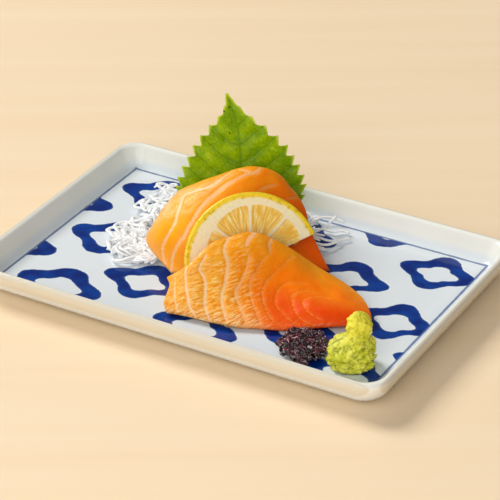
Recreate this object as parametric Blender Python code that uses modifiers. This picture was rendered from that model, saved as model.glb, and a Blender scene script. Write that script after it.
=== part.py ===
"""A rectangular porcelain sashimi plate with salmon, lemon, a shiso leaf, shredded daikon,
wasabi and purple sprouts. Metres, +Z up, long side along X, origin under the plate's middle.

The food is laid out along a line turned from the plate's long side, so its points are given
in millimetres as (along, back, up): along that line, away from the diner, and above the table.
"""
import math
import random

import bpy
import bmesh
from mathutils import Vector, noise

MM = 0.001

# Plate
PLATE_LENGTH = 190 * MM
PLATE_WIDTH = 125 * MM
PLATE_HEIGHT = 13.8 * MM
FLOOR_TOP = 5.1 * MM
RIM_CORNER = 10.0
FLOOR_CORNER = 4.5
FOOT_CORNER = 5.0
FOOT_INSET = 14.6
FOOT_WIDTH = 2.8
UNDERSIDE = 1.5
CORNER_STEPS = 6

# How the food lies
FOOD_TURN = math.radians(30.42)
TRAY_BACK = 50.0
REST_GAP = 0.35
FLOOR_MM = FLOOR_TOP / MM

# Salmon
SLICE_THICKNESS = 6.3
SLICE_EDGE = 3.4
SLICE_ROUNDING = 1.3 * MM
SLICE_EDGE_REACH = 0.16

# Lemon
LEMON_RADIUS = 28.8
LEMON_THICKNESS = 5.2
LEMON_CENTRE = (4.5, -9.3, 14.9)
LEMON_LEAN = math.radians(59.5)
LEMON_YAW = math.radians(14)
LEMON_CUT_TILT = math.radians(24)
LEMON_STEPS = 30

# Shiso leaf
LEAF_LENGTH = 56.6
LEAF_HALF_WIDTH = 26.2
LEAF_THICKNESS = 0.5 * MM
LEAF_FOOT = (-0.4, 34.2, 7.6)
LEAF_LEAN = math.radians(76.5)
LEAF_TEETH = 12
LEAF_TOOTH_OUT = 1.0
LEAF_TOOTH_UP = 0.7
LEAF_TIP_BEND = 5.6
LEAF_CREASE = 1.6
LEAF_WAVE = 1.0
LEAF_FLAT_WIDTH = 14.0

# Daikon, sprouts and wasabi: centres and half sizes along and back
SLIVER = 0.004 * MM
SHRED_WIDTH = 1.5
SHRED_THICKNESS = 0.8
SHRED_STEPS = 9
LOOK_AHEAD = 0.02
STRIP_END_SHARE = 0.55
HEAP_CENTRE = (-3.0, 29.0)
HEAP_REACH = (33.0, 28.0)
SPROUT_CENTRE = (23.5, -59.5)
SPROUT_REACH = (9.5, 12.0)
SPROUT_LEAVES = 30
SPROUT_STEMS = 8
STEM_WIDTH = 0.8
STEM_THICKNESS = 0.7
WASABI_CENTRE = (41.6, -70.9)
WASABI_BASE = 7.8
WASABI_CRAG = 0.24
WASABI_DEPTH_SHARE = 0.88
WASABI_PINCH_SHIFT = (2.9, 2.6)
WASABI_STEPS = 32


def place(along, back, up):
    """A point of the food's layout, in millimetres, as a point of the part in metres."""
    x = along * math.cos(FOOD_TURN) - back * math.sin(FOOD_TURN)
    y = along * math.sin(FOOD_TURN) + back * math.cos(FOOD_TURN)
    return Vector((x, y, up)) * MM


def clear_scene():
    for thing in list(bpy.data.objects):
        bpy.data.objects.remove(thing, do_unlink=True)


def new_collection(name):
    group = bpy.data.collections.new(name)
    bpy.context.scene.collection.children.link(group)
    return group


def material(name, colour, roughness):
    mat = bpy.data.materials.new(name)
    mat.use_nodes = True
    shader = mat.node_tree.nodes["Principled BSDF"]
    shader.inputs["Base Color"].default_value = (*colour, 1.0)
    shader.inputs["Roughness"].default_value = roughness
    shader.inputs["Metallic"].default_value = 0.0
    return mat


def finish(bm, name, mat, group, smooth=True):
    """Turns a bmesh into a named object of the part."""
    mesh = bpy.data.meshes.new(name)
    bm.to_mesh(mesh)
    bm.free()
    if smooth:
        mesh.shade_smooth()
        mesh.set_sharp_from_angle(angle=math.radians(50))
    mesh.materials.append(mat)
    thing = bpy.data.objects.new(name, mesh)
    group.objects.link(thing)
    return thing


def curve_through(points, position):
    """A smooth curve through evenly spaced points, read at position 0 to 1."""
    last = len(points) - 1
    place_on = min(max(position, 0.0), 1.0) * last
    index = min(int(place_on), last - 1)
    part = place_on - index
    p1, p2 = Vector(points[index]), Vector(points[index + 1])
    p0 = Vector(points[index - 1]) if index > 0 else p1 * 2 - p2
    p3 = Vector(points[index + 2]) if index + 2 <= last else p2 * 2 - p1
    slope = (p2 - p0) * 0.5
    next_slope = (p3 - p1) * 0.5
    square, cube = part * part, part ** 3
    return (p1 * (2 * cube - 3 * square + 1) + slope * (cube - 2 * square + part)
            + p2 * (3 * square - 2 * cube) + next_slope * (cube - square))


def ease(value, start, end):
    """0 before start, 1 after end, with a smooth turn between."""
    x = min(max((value - start) / (end - start), 0.0), 1.0)
    return x * x * (3 - 2 * x)


def round_base(bm, steps):
    """A flat round face of radius 1, and its rim edges."""
    bmesh.ops.create_circle(bm, cap_ends=True, segments=steps, radius=1.0)
    return bm.edges[:]


def grow(bm, edges):
    """Extrudes an open rim once and gives the new rim's edges and points."""
    grown = bmesh.ops.extrude_edge_only(bm, edges=edges)["geom"]
    rim = [item for item in grown if isinstance(item, bmesh.types.BMEdge) and item.is_boundary]
    points = [item for item in grown if isinstance(item, bmesh.types.BMVert)]
    return rim, points


def rounded_rectangle(inset, height, corner):
    """Points of one level of the plate, counter-clockwise; inset, height and corner in mm."""
    half_x = PLATE_LENGTH / 2 / MM - inset - corner
    half_y = PLATE_WIDTH / 2 / MM - inset - corner
    points = []
    for quarter, (sx, sy) in enumerate(((1, 1), (-1, 1), (-1, -1), (1, -1))):
        for step in range(CORNER_STEPS + 1):
            angle = (quarter + step / CORNER_STEPS) * math.pi / 2
            points.append(Vector((sx * half_x + corner * math.cos(angle),
                                  sy * half_y + corner * math.sin(angle), height)) * MM)
    return points


def plate(mat, group):
    """The dish is one skin: from its floor up the wall, over the lip and down to the foot
    ring. Each level is how far in from the rim it lies, its height and its corner."""
    rim = PLATE_HEIGHT / MM
    levels = [
        (9.4, FLOOR_MM, FLOOR_CORNER),
        (8.2, FLOOR_MM + 0.25, FLOOR_CORNER + 0.6),
        (7.2, FLOOR_MM + 0.9, FLOOR_CORNER + 1.4),
        (6.2, FLOOR_MM + 2.2, FLOOR_CORNER + 2.2),
        (4.6, FLOOR_MM + 5.0, FLOOR_CORNER + 3.4),
        (3.3, rim - 1.1, FLOOR_CORNER + 4.4),
        (2.6, rim - 0.3, RIM_CORNER - 1.6),
        (1.7, rim, RIM_CORNER - 1.0),
        (0.8, rim - 0.2, RIM_CORNER - 0.4),
        (0.15, rim - 0.9, RIM_CORNER),
        (0.0, rim - 1.8, RIM_CORNER),
        (0.6, rim - 4.2, RIM_CORNER),
        (2.2, UNDERSIDE + 4.7, RIM_CORNER - 0.6),
        (4.6, UNDERSIDE + 1.9, RIM_CORNER - 1.6),
        (7.2, UNDERSIDE + 0.4, RIM_CORNER - 2.6),
        (10.5, UNDERSIDE, RIM_CORNER - 3.6),
        (FOOT_INSET - 0.6, UNDERSIDE - 0.2, FOOT_CORNER + 0.8),
        (FOOT_INSET, 0.0, FOOT_CORNER),
        (FOOT_INSET + FOOT_WIDTH, 0.0, FOOT_CORNER - 1.4),
        (FOOT_INSET + FOOT_WIDTH + 0.8, UNDERSIDE, FOOT_CORNER - 2.0),
    ]
    bm = bmesh.new()
    ring = [bm.verts.new(point) for point in rounded_rectangle(*levels[0])]
    bm.faces.new(ring)
    edges = bm.edges[:]
    for level in levels[1:]:
        edges, grown = grow(bm, edges)
        fresh = set(grown)
        ring = [next(edge.other_vert(vert) for edge in vert.link_edges if edge.other_vert(vert) in fresh)
                for vert in ring]
        for vert, point in zip(ring, rounded_rectangle(*level)):
            vert.co = point
    bmesh.ops.contextual_create(bm, geom=ring)
    bmesh.ops.recalc_face_normals(bm, faces=bm.faces[:])
    return finish(bm, "plate", mat, group)


def sheet(name, guides, columns, rows, thickness_at, mat, group):
    """A soft slice: a grid laid on smooth guide curves, front guide first, given its thickness
    downwards, with its rims rounded."""
    bm = bmesh.new()
    bmesh.ops.create_grid(bm, x_segments=columns, y_segments=rows, size=0.5)
    spots = {}
    for vert in bm.verts:
        s, t = vert.co.x + 0.5, vert.co.y + 0.5
        spots[vert.index] = (s, t)
        across = [curve_through(guide, s) for guide in guides]
        vert.co = place(*curve_through(across, t))
    bm.normal_update()
    weights = {}
    for vert in bm.verts:
        s, t = spots[vert.index]
        room = (vert.co.z / MM - FLOOR_MM - REST_GAP) / max(vert.normal.z, 0.2)
        weights[vert.index] = max(min(thickness_at(s, t), room), 0.8) / SLICE_THICKNESS
    slice_object = finish(bm, name, mat, group)
    weight_group = slice_object.vertex_groups.new(name="thickness")
    for index, weight in weights.items():
        weight_group.add([index], weight, "REPLACE")
    solid = slice_object.modifiers.new("Thickness", "SOLIDIFY")
    solid.thickness = SLICE_THICKNESS * MM
    solid.offset = -1.0
    solid.vertex_group = "thickness"
    solid.thickness_vertex_group = 0.0
    rounding = slice_object.modifiers.new("Soft rims", "BEVEL")
    rounding.limit_method = "ANGLE"
    rounding.angle_limit = math.radians(55)
    rounding.width = SLICE_ROUNDING
    rounding.segments = 2
    return slice_object


def slice_thickness(s, t):
    """Full in the middle and thinner towards all four edges."""
    from_edge = min(s, 1 - s, t, 1 - t)
    return SLICE_EDGE + (SLICE_THICKNESS - SLICE_EDGE) * ease(from_edge, 0.0, SLICE_EDGE_REACH)


def salmon_back(mat, group):
    """The slice draped over the daikon, from its front edge over its ridge to its back edge."""
    front_edge = [(-29.1, -6.0, 8.8), (-15.2, -7.0, 8.4), (0.9, -5.2, 7.6), (18.0, -4.6, 7.4), (35.6, -3.2, 7.6)]
    low = [(-39.4, 4.9, 16.2), (-22.0, -0.9, 19.4), (-0.9, 0.4, 18.4), (16.2, 4.9, 15.5), (31.4, 6.2, 12.7)]
    flank = [(-36.9, 11.2, 21.9), (-20.3, 6.3, 28.3), (-0.8, 7.6, 30.6), (15.9, 11.0, 26.6), (28.2, 11.3, 19.2)]
    shoulder = [(-30.4, 19.9, 27.8), (-15.9, 16.0, 34.0), (0.5, 15.0, 37.2), (15.6, 17.4, 33.4), (26.3, 17.0, 25.0)]
    ridge = [(-25.1, 24.8, 30.2), (-12.6, 23.5, 35.9), (1.8, 23.9, 40.5), (14.1, 24.7, 37.7), (21.9, 23.9, 28.7)]
    back_edge = [(-22.0, 30.0, 25.0), (-11.0, 31.5, 31.5), (1.8, 32.5, 35.5), (12.5, 32.0, 32.5), (19.0, 30.0, 24.0)]
    guides = [front_edge, low, flank, shoulder, ridge, back_edge]
    return sheet("salmon_back", guides, 16, 13, slice_thickness, mat, group)


def salmon_front(mat, group):
    """The slice that leans on the lemon at the left and lies flat on the plate at the right."""
    front_edge = [(-30.7, -33.9, 7.2), (-22.0, -38.0, 7.4), (-12.9, -42.1, 7.6), (-4.3, -45.2, 7.6),
                  (5.5, -46.5, 7.6), (16.1, -48.1, 7.6), (28.0, -47.4, 7.8), (40.0, -46.6, 8.2), (50.4, -44.8, 8.2)]
    low = [(-31.9, -29.6, 9.2), (-22.2, -33.0, 13.0), (-14.5, -33.2, 13.5), (-5.8, -33.6, 13.8),
           (4.1, -34.1, 13.2), (15.2, -34.4, 12.6), (28.2, -39.5, 12.2), (41.1, -42.4, 11.2), (51.1, -42.1, 8.7)]
    middle = [(-30.5, -26.6, 12.0), (-22.8, -27.5, 17.0), (-14.9, -26.7, 18.7), (-5.7, -26.7, 18.9),
              (3.4, -26.0, 18.4), (14.9, -25.9, 16.2), (28.4, -31.0, 13.3), (42.0, -35.9, 11.7), (50.8, -38.1, 9.0)]
    ridge = [(-29.7, -24.0, 13.8), (-22.8, -24.5, 19.8), (-14.4, -21.0, 24.1), (-5.1, -18.6, 25.4),
             (3.9, -16.5, 25.4), (15.8, -17.0, 21.2), (29.0, -21.0, 14.8), (42.1, -27.6, 11.7), (49.7, -33.2, 9.2)]
    back_edge = [(-30.8, -21.0, 15.6), (-21.6, -21.0, 21.9), (-12.8, -15.0, 27.5), (-4.5, -11.0, 28.8),
                 (5.2, -9.0, 29.4), (17.6, -9.5, 23.5), (29.6, -11.5, 15.2), (41.8, -19.8, 11.0), (48.0, -28.5, 9.5)]
    guides = [front_edge, low, middle, ridge, back_edge]
    return sheet("salmon_front", guides, 22, 12, slice_thickness, mat, group)


def lemon_axes():
    """Right, up and outward directions of the lemon's face, in the food's layout."""
    facing = Vector((0, -math.sin(LEMON_LEAN), math.cos(LEMON_LEAN)))
    out = facing * math.cos(LEMON_YAW) + Vector((1, 0, 0)) * math.sin(LEMON_YAW)
    up = Vector((0, math.cos(LEMON_LEAN), math.sin(LEMON_LEAN)))
    return up.cross(out), up, out


def lemon(mat, group):
    """Half of a round slice, leaning on the salmon behind it, its straight cut downwards."""
    right, up, out = lemon_axes()
    centre = Vector(LEMON_CENTRE)
    bm = bmesh.new()
    outline = []
    for step in range(LEMON_STEPS + 1):
        angle = LEMON_CUT_TILT + math.pi * step / LEMON_STEPS
        outline.append(centre + (right * math.cos(angle) + up * math.sin(angle)) * LEMON_RADIUS)
    face = bm.faces.new([bm.verts.new(place(*point)) for point in outline])
    body = bmesh.ops.extrude_face_region(bm, geom=[face], use_keep_orig=True)["geom"]
    depth = place(*(-out * LEMON_THICKNESS))
    for part in body:
        if isinstance(part, bmesh.types.BMVert):
            part.co += depth
    bmesh.ops.recalc_face_normals(bm, faces=bm.faces[:])
    half_slice = finish(bm, "lemon_half_slice", mat, group)
    rounding = half_slice.modifiers.new("Peel edge", "BEVEL")
    rounding.limit_method = "ANGLE"
    rounding.angle_limit = math.radians(60)
    rounding.width = 0.7 * MM
    rounding.segments = 2
    return half_slice


def leaf_half_width(s):
    """Half width of the leaf from foot (0) to tip (1): round low down, drawn out to a point."""
    profile = [0.10, 0.82, 0.98, 1.00, 0.93, 0.82, 0.69, 0.50, 0.28, 0.11, 0.02]
    return LEAF_HALF_WIDTH * curve_through([(share, 0, 0) for share in profile], s).x


def shiso_leaf(mat, group):
    """A thin wavy blade with a row of teeth along each side, standing on its foot."""
    columns, rows = 8, LEAF_TEETH * 2
    lean = Vector((0, math.cos(LEAF_LEAN), math.sin(LEAF_LEAN)))
    out = Vector((0, -math.sin(LEAF_LEAN), math.cos(LEAF_LEAN)))
    bm = bmesh.new()
    bmesh.ops.create_grid(bm, x_segments=columns, y_segments=rows, size=0.5)
    for vert in bm.verts:
        across, s = vert.co.x * 2, vert.co.y + 0.5
        step = round(s * rows)
        on_edge = abs(across) > 0.99 and 0 < step < rows
        tooth = (1 if step % 2 == 0 else -1) if on_edge else 0
        width = leaf_half_width(s) + LEAF_TOOTH_OUT * tooth
        rise = s * LEAF_LENGTH + LEAF_TOOTH_UP * tooth
        bend = -LEAF_TIP_BEND * max(2 * s - 1, 0.0) ** 2
        breadth = min(leaf_half_width(s) / LEAF_FLAT_WIDTH, 1.0)
        crease = -LEAF_CREASE * (1 - abs(across)) * breadth
        wave = LEAF_WAVE * math.sin(s * 9.0 + across * 2.2) * abs(across) * breadth
        point = Vector(LEAF_FOOT) + lean * rise + Vector((across * width + bend, 0, 0)) + out * (crease + wave)
        vert.co = place(*point)
    bmesh.ops.triangulate(bm, faces=bm.faces[:])
    blade = finish(bm, "shiso_leaf", mat, group)
    solid = blade.modifiers.new("Blade", "SOLIDIFY")
    solid.thickness = LEAF_THICKNESS
    solid.offset = 0.0
    return blade


def strip(bm, path, width, thickness, steps):
    """A flat shred: its end face grown along a smooth path of points in the food's layout."""
    ring = [bm.verts.new() for _ in range(4)]
    bm.faces.new(ring)
    edges = bm.edges[:]
    for step in range(steps + 1):
        if step > 0:
            edges, grown = grow(bm, edges)
            fresh = set(grown)
            ring = [next(edge.other_vert(vert) for edge in vert.link_edges if edge.other_vert(vert) in fresh)
                    for vert in ring]
        position = step / steps
        here = curve_through(path, position)
        ahead = curve_through(path, position + LOOK_AHEAD) - curve_through(path, position - LOOK_AHEAD)
        side = ahead.cross(Vector((0, 0, 1))).normalized()
        top = side.cross(ahead.normalized())
        share = STRIP_END_SHARE if step in (0, steps) else 1.0
        for vert, (across, up) in zip(ring, ((-1, -1), (1, -1), (1, 1), (-1, 1))):
            corner = here + side * (across * share * width / 2) + top * (up * thickness / 2)
            vert.co = place(*corner)
    bmesh.ops.contextual_create(bm, geom=edges)


def low_mound(centre, reach, height_at, rings, spokes):
    """A flat-bottomed mound: a disc of rings raised by a height rule."""
    bm = bmesh.new()
    edges = round_base(bm, spokes)
    for ring in range(rings):
        edges, points = grow(bm, edges)
        for vert in points:
            flat = Vector((vert.co.x, vert.co.y, 0)).normalized() * (1 - ring / rings)
            vert.co = Vector((flat.x, flat.y, 1))
    top = bmesh.ops.contextual_create(bm, geom=edges)["faces"]
    bmesh.ops.poke(bm, faces=top)
    for vert in bm.verts:
        along = centre[0] + vert.co.x * reach[0]
        back = centre[1] + vert.co.y * reach[1]
        raised = height_at(along, back) if vert.co.z > 0.5 else 0.0
        vert.co = place(along, back, FLOOR_MM + REST_GAP + raised)
    bmesh.ops.recalc_face_normals(bm, faces=bm.faces[:])
    return bm


def fuse(core, loose, name, mat, group):
    """Joins a core and a collection of loose pieces into one closed body."""
    heap = finish(core, name, mat, group, smooth=False)
    pieces = new_collection(name + " pieces")
    for index, bm in enumerate(loose):
        bmesh.ops.recalc_face_normals(bm, faces=bm.faces[:])
        finish(bm, f"{name} piece {index}", mat, pieces, smooth=False)
    join = heap.modifiers.new("Join", "BOOLEAN")
    join.operation = "UNION"
    join.operand_type = "COLLECTION"
    join.collection = pieces
    join.solver = "EXACT"
    graph = bpy.context.evaluated_depsgraph_get()
    joined = bpy.data.meshes.new_from_object(heap.evaluated_get(graph))
    heap.modifiers.clear()
    heap.data = joined
    for thing in list(pieces.objects):
        bpy.data.objects.remove(thing, do_unlink=True)
    bpy.data.collections.remove(pieces)
    keep_largest_body(joined)
    return heap


def keep_largest_body(mesh):
    """Drops loose scraps and sealed hollows that the union left."""
    bm = bmesh.new()
    bm.from_mesh(mesh)
    unseen = set(bm.faces)
    bodies = []
    while unseen:
        start = unseen.pop()
        body, front = [start], [start]
        while front:
            for edge in front.pop().edges:
                for face in edge.link_faces:
                    if face in unseen:
                        unseen.remove(face)
                        body.append(face)
                        front.append(face)
        bodies.append(body)
    bodies.sort(key=len)
    for body in bodies[:-1]:
        bmesh.ops.delete(bm, geom=body, context="FACES")
    bmesh.ops.dissolve_degenerate(bm, dist=SLIVER, edges=bm.edges[:])
    bm.to_mesh(mesh)
    bm.free()


def heap_height(along, back):
    """The daikon under the salmon in front of the leaf, and the lower part behind the leaf."""
    front = 24.0 * math.exp(-((along + 2.0) / 19.0) ** 2 - ((back - 20.0) / 7.0) ** 2)
    behind = 8.0 * math.exp(-((along + 10.0) / 20.0) ** 2 - ((back - 47.0) / 9.0) ** 2)
    return 0.9 + front + behind * ease(back, 37.5, 45.0)


def inside_tray(along, back, up):
    """The same point, moved in where it would reach the plate's back wall."""
    y = along * math.sin(FOOD_TURN) + back * math.cos(FOOD_TURN)
    over = max(y - TRAY_BACK, 0.0)
    return (along - over * math.sin(FOOD_TURN), back - over * math.cos(FOOD_TURN), up)


def loop_path(rng, centre, size, lift, points=6):
    """A loose curl of a shred lying round a centre."""
    start = rng.uniform(0, 2 * math.pi)
    sweep = rng.uniform(2.4, 4.6) * rng.choice((-1, 1))
    path = []
    for k in range(points):
        angle = start + sweep * k / (points - 1)
        radius = size * rng.uniform(0.75, 1.15)
        up = FLOOR_MM + 1.0 + lift * math.sin(math.pi * k / (points - 1)) * rng.uniform(0.5, 1.0)
        path.append(inside_tray(centre[0] + radius * math.cos(angle),
                                centre[1] + radius * 0.8 * math.sin(angle), up))
    return path


def daikon_heap(mat, group):
    """Shredded daikon: a core under the salmon with loose curls spread round it."""
    rng = random.Random(13)
    core = low_mound(HEAP_CENTRE, HEAP_REACH, heap_height, 9, 26)
    paths = []
    for along, back, size, lift in (
            (-47, 12, 7.0, 2.0), (-44, 22, 8.0, 2.5), (-48, 31, 6.5, 2.0), (-40, 33, 8.0, 3.0), (-38, 16, 7.0, 2.5),
            (-36, 44, 7.0, 2.5), (-27, 50, 8.0, 3.0), (-19, 55, 6.0, 3.5), (-8, 50, 7.0, 4.0), (4, 46, 7.0, 3.0),
            (15, 44, 6.0, 2.5), (35, 33, 5.5, 2.5), (37, 25, 6.0, 2.0), (-50, 20, 5.0, 3.0), (-45, 27, 6.0, 4.0),
            (-41, 10, 5.0, 3.0), (-52, 9, 4.5, 1.5), (-43, 38, 5.5, 3.5), (-30, 45, 6.0, 4.5), (30, 39, 6.0, 3.0)):
        paths.append(loop_path(rng, (along, back), size, lift))
    paths.append([(24, 29, 7), (30, 26, 8.5), (35, 28, 10), (38, 31, 11.5), (39.5, 33, 12)])
    paths.append([(26, 24, 6.8), (31, 17.5, 7.8), (35, 16, 8), (39, 19, 7.5), (41, 21.5, 6.8)])
    paths.append([(-26, 30, 7), (-34, 25, 8), (-42, 17, 7), (-50, 14, 6.4), (-55, 18, 6.3)])
    paths.append([(-26, 22, 7), (-36, 14, 8), (-44, 7, 7), (-51, 6, 6.4), (-54, 10, 6.3)])
    loose = []
    for path in paths:
        bm = bmesh.new()
        strip(bm, path, SHRED_WIDTH, SHRED_THICKNESS, SHRED_STEPS)
        loose.append(bm)
    return fuse(core, loose, "daikon_heap", mat, group)


def sprout_leaf(rng, centre):
    """One small folded sprout leaf: two blades meeting at a crease, as a thin closed wedge."""
    length, width = rng.uniform(4.2, 6.0), rng.uniform(1.8, 2.6)
    heading = rng.uniform(0, 2 * math.pi)
    pitch = rng.uniform(-0.25, 0.7)
    ahead = Vector((math.cos(heading) * math.cos(pitch), math.sin(heading) * math.cos(pitch), math.sin(pitch)))
    side = ahead.cross(Vector((0, 0, 1))).normalized()
    top = side.cross(ahead)
    bm = bmesh.new()
    bmesh.ops.create_cone(bm, cap_ends=True, segments=6, radius1=0.5, radius2=0.5, depth=1.0)
    for vert in bm.verts:
        x, y, z = vert.co
        point = centre + ahead * (x * length) + side * (y * width) + top * (z * 0.7 + abs(y) * 1.8)
        vert.co = place(*point)
    return bm


def sprout_height(along, back):
    across = (along - SPROUT_CENTRE[0]) / SPROUT_REACH[0]
    away = (back - SPROUT_CENTRE[1]) / SPROUT_REACH[1]
    return 0.6 + 2.6 * max(1 - across ** 2 - away ** 2, 0.0)


def purple_sprouts(mat, group):
    """A low heap of dark purple sprouts: leaves and thin stems on a small core."""
    rng = random.Random(5)
    core = low_mound(SPROUT_CENTRE, (SPROUT_REACH[0] * 0.8, SPROUT_REACH[1] * 0.8), sprout_height, 4, 16)
    loose = []
    for index in range(SPROUT_LEAVES):
        angle = index * 2.4
        spread = math.sqrt((index + 0.5) / SPROUT_LEAVES)
        along = SPROUT_CENTRE[0] + SPROUT_REACH[0] * spread * math.cos(angle) * 0.92
        back = SPROUT_CENTRE[1] + SPROUT_REACH[1] * spread * math.sin(angle) * 0.92
        up = FLOOR_MM + 1.6 + sprout_height(along, back)
        loose.append(sprout_leaf(rng, Vector((along, back, up))))
    for _ in range(SPROUT_STEMS):
        angle = rng.uniform(0, 2 * math.pi)
        centre = Vector((SPROUT_CENTRE[0] + SPROUT_REACH[0] * 0.55 * math.cos(angle),
                         SPROUT_CENTRE[1] + SPROUT_REACH[1] * 0.55 * math.sin(angle), FLOOR_MM + 3.4))
        heading = rng.uniform(0, math.pi)
        reach = Vector((math.cos(heading), math.sin(heading), 0)) * rng.uniform(3.5, 5.5)
        bend = Vector((-reach.y, reach.x, 0)) * rng.uniform(-0.4, 0.4)
        arch = Vector((0, 0, 0.8))
        path = [centre - reach, centre - reach * 0.3 + bend + arch, centre + reach * 0.5 + bend, centre + reach]
        bm = bmesh.new()
        strip(bm, path, STEM_WIDTH, STEM_THICKNESS, 5)
        loose.append(bm)
    return fuse(core, loose, "purple_sprouts", mat, group)


def wasabi(mat, group):
    """A craggy dab of wasabi with a smaller pinch on top, built from level rings."""
    levels = [(1.0, 8.6), (2.8, 9.2), (4.8, 9.1), (6.8, 9.0), (8.8, 8.9), (10.2, 7.9), (10.9, 5.8), (12.2, 4.1),
              (14.0, 4.3), (16.0, 4.8), (18.0, 4.7), (19.8, 4.0), (21.2, 2.6), (22.0, 1.1)]
    bm = bmesh.new()
    edges = round_base(bm, WASABI_STEPS)
    for vert in bm.verts:
        vert.co *= WASABI_BASE
    for height, radius in levels:
        edges, points = grow(bm, edges)
        for vert in points:
            flat = Vector((vert.co.x, vert.co.y, 0)).normalized() * radius
            vert.co = Vector((flat.x, flat.y, height))
    bmesh.ops.contextual_create(bm, geom=edges)
    for vert in bm.verts:
        height = vert.co.z
        raised = ease(height, 0.0, 1.0)
        spot = Vector((vert.co.x, vert.co.y, height * 1.3))
        crag = noise.voronoi(spot * 0.36)[0][0] + 0.5 * noise.noise(spot * 0.8)
        swell = 1.0 + (WASABI_CRAG * crag - 0.10) * raised
        pinch = ease(height, 8.0, 14.0)
        along = WASABI_CENTRE[0] + vert.co.x * swell + WASABI_PINCH_SHIFT[0] * pinch
        back = WASABI_CENTRE[1] + vert.co.y * swell * WASABI_DEPTH_SHARE + WASABI_PINCH_SHIFT[1] * pinch
        rise = height + 0.5 * noise.noise(spot * 0.5) * raised
        vert.co = place(along, back, FLOOR_MM + REST_GAP + rise)
    bmesh.ops.recalc_face_normals(bm, faces=bm.faces[:])
    return finish(bm, "wasabi", mat, group)


def main():
    clear_scene()
    group = new_collection("sashimi plate")
    plate(material("glazed porcelain", (0.86, 0.89, 0.92), 0.12), group)
    daikon_heap(material("daikon", (0.90, 0.92, 0.90), 0.35), group)
    shiso_leaf(material("shiso", (0.16, 0.34, 0.02), 0.45), group)
    salmon_back(material("salmon back", (0.95, 0.30, 0.03), 0.28), group)
    lemon(material("lemon", (0.95, 0.72, 0.22), 0.40), group)
    salmon_front(material("salmon front", (0.95, 0.24, 0.02), 0.28), group)
    wasabi(material("wasabi", (0.55, 0.66, 0.10), 0.60), group)
    purple_sprouts(material("purple sprouts", (0.06, 0.01, 0.03), 0.45), group)


main()
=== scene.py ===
import random
from math import atan2, cos, degrees, exp, hypot, log, pi, radians, sin, sqrt

import bmesh
import bpy
import numpy as np
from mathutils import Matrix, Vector, noise
from mathutils.bvhtree import BVHTree


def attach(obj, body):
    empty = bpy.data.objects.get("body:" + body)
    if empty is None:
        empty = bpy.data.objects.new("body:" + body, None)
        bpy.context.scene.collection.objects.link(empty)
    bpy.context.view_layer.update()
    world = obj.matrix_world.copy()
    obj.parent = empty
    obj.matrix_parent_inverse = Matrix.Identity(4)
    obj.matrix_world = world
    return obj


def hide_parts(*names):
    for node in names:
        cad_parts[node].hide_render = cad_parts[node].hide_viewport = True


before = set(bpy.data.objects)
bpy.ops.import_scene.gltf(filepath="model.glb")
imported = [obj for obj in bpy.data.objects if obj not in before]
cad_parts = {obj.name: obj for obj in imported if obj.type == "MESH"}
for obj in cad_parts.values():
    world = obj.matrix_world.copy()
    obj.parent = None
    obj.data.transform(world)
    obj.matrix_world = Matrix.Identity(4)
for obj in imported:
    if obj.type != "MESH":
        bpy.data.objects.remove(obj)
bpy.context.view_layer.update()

MM = 0.001
FLOOR = 5.1
REST_GAP = 0.35
FOOD_TURN = radians(30.42)


# Shapes

def place(along, back, up):
    """A point of the food's layout, in millimetres, as a point of the part in metres."""
    x = along * cos(FOOD_TURN) - back * sin(FOOD_TURN)
    y = along * sin(FOOD_TURN) + back * cos(FOOD_TURN)
    return Vector((x, y, up)) * MM


def ease(value, start, end):
    """0 before start, 1 after end, with a smooth turn between."""
    x = np.clip((np.asarray(value, float) - start) / (end - start), 0.0, 1.0)
    return x * x * (3 - 2 * x)


def curve(points, at):
    """A smooth curve through evenly spaced points, read at positions 0 to 1."""
    points = np.asarray(points, float)
    last = len(points) - 1
    spot = np.clip(np.atleast_1d(at), 0.0, 1.0) * last
    index = np.minimum(spot.astype(int), last - 1)
    part = (spot - index).reshape((-1,) + (1,) * (points.ndim - 1))
    padded = np.concatenate([2 * points[:1] - points[1:2], points, 2 * points[-1:] - points[-2:-1]])
    p0, p1, p2, p3 = (padded[index + k] for k in range(4))
    square, cube = part ** 2, part ** 3
    return (p1 * (2 * cube - 3 * square + 1) + (p2 - p0) / 2 * (cube - 2 * square + part)
            + p2 * (3 * square - 2 * cube) + (p3 - p1) / 2 * (cube - square))


def rough(point, scale, octaves=3):
    """Smooth noise about zero at a point, with finer layers on it."""
    return noise.fractal(Vector(point) * scale, 0.6, 2.0, octaves)


def grow(bm, edges):
    """Extrudes an open rim once and gives the new rim's edges and points."""
    grown = bmesh.ops.extrude_edge_only(bm, edges=edges)["geom"]
    rim = [item for item in grown if isinstance(item, bmesh.types.BMEdge) and item.is_boundary]
    points = [item for item in grown if isinstance(item, bmesh.types.BMVert)]
    return rim, points


def next_ring(ring, grown):
    """The grown points in the order of the ring that they grew from."""
    fresh = set(grown)
    return [next(edge.other_vert(vert) for edge in vert.link_edges if edge.other_vert(vert) in fresh)
            for vert in ring]


def open_sheet(columns, rows, values=(), places=()):
    """A bmesh grid from -0.5 to 0.5 each way, with layers for named values and places."""
    bm = bmesh.new()
    bmesh.ops.create_grid(bm, x_segments=columns, y_segments=rows, size=0.5)
    layers = {key: bm.verts.layers.float.new(key) for key in values}
    layers.update({key: bm.verts.layers.float_vector.new(key) for key in places})
    return bm, layers


def in_scene(bm, name, mat):
    """Turns a bmesh into an object with one material."""
    mesh = bpy.data.meshes.new(name)
    bm.to_mesh(mesh)
    bm.free()
    mesh.materials.append(mat)
    thing = bpy.data.objects.new(name, mesh)
    bpy.context.scene.collection.objects.link(thing)
    return thing


def piece(bm, name, mat, stands_for=()):
    """Turns a bmesh into a finished piece of the plate of food."""
    thing = in_scene(bm, name, mat)
    thing.data.shade_smooth()
    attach(thing, "root")
    if stands_for:
        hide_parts(*stands_for)
    return thing


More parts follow.
